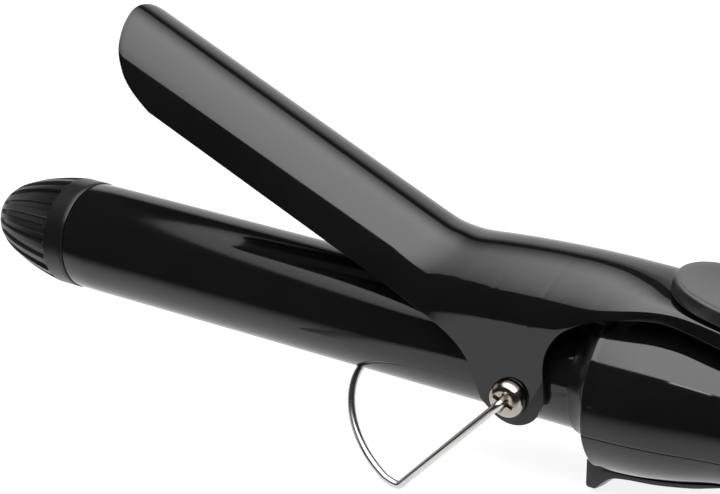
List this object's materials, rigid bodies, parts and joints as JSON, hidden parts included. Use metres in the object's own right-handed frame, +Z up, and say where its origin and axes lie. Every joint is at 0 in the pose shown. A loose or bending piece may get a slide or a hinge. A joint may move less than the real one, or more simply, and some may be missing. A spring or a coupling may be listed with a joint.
{
  "type": "curling iron",
  "caption": "Spring-clamp curling iron with a fluted cool tip, wire rest stand, waisted handle and swivelling cord inlet.",
  "frame": {"origin": "middle of the footprint's bounding box, on the surface the iron rests on", "axes": "+X from the cool tip towards the cord end, +Z up; the clamp's thumb pad is on top and the iron rests on its wire stand and the back of its handle"},
  "size_m": [0.3114, 0.0556, 0.1039],
  "materials": {
    "gloss": "deep gloss black",
    "satin": "satin black, fine grain",
    "tip": "satin black",
    "barrel": "gloss black ceramic enamel",
    "plate": "gloss black lacquer",
    "chrome": "bright plated",
    "nickel": "nickel plated, polished",
    "steel": "plain bright steel",
    "aluminium": "extruded, plain",
    "ceramic": "off-white ceramic",
    "board": "green circuit laminate",
    "board_parts": "black moulding",
    "lead": "white silicone sleeve",
    "lens": "clear red"
  },
  "bodies": {
    "iron": {"cool_tip": "tip", "barrel_tube": "barrel", "ptc_heater": "ceramic", "heat_spreader_upper": "aluminium", "heat_spreader_lower": "aluminium", "spreader_spring": "steel", "thermal_fuse": "aluminium", "heater_lead_left": "lead", "heater_lead_right": "lead", "pivot_boss_left": "steel", "pivot_boss_right": "steel", "pivot_screw_left": "nickel", "pivot_screw_right": "nickel", "spring_seat": "steel", "return_spring": "steel", "heat_collar": "satin", "insulator_ring": "ceramic", "handle_upper_shell": "gloss", "handle_lower_shell": "gloss", "handle_screw_front": "steel", "handle_screw_rear": "steel", "rest_heel": "satin", "circuit_board": "board", "switch_body": "board_parts", "indicator_lens": "lens", "end_cap": "gloss", "swivel_retainer": "steel"},
    "clamp_assembly": {"clamp": "plate", "thumb_pad": "satin", "pad_rivet_front": "steel", "pad_rivet_rear": "steel"},
    "stand": {"wire_stand": "chrome"},
    "switch": {"switch_button": "satin"},
    "swivel": {"cord_swivel": "satin"}
  },
  "joints": [
    {"name": "clamp_hinge", "type": "hinge", "parent": "iron", "child": "clamp_assembly", "pos_m": [0.0111, 0, 0.02468], "axis": [0, 1, 0], "range_deg": [-22.5, 3], "stiffness_Nm_per_rad": 0.3, "springref_deg": -30, "deforming": ["return_spring"]},
    {"name": "stand_hinge", "type": "hinge", "parent": "iron", "child": "stand", "pos_m": [0.0111, 0, 0.02468], "axis": [0, -1, 0], "range_deg": [0, 140]},
    {"name": "switch_slide", "type": "slide", "parent": "iron", "child": "switch", "axis": [0.997, 0, -0.077], "range_m": [0, 0.0065]},
    {"name": "cord_swivel_spin", "type": "hinge", "parent": "iron", "child": "swivel", "pos_m": [0.14928, 0, 0.01783], "axis": [0.997, 0, -0.077], "continuous": true}
  ]
}
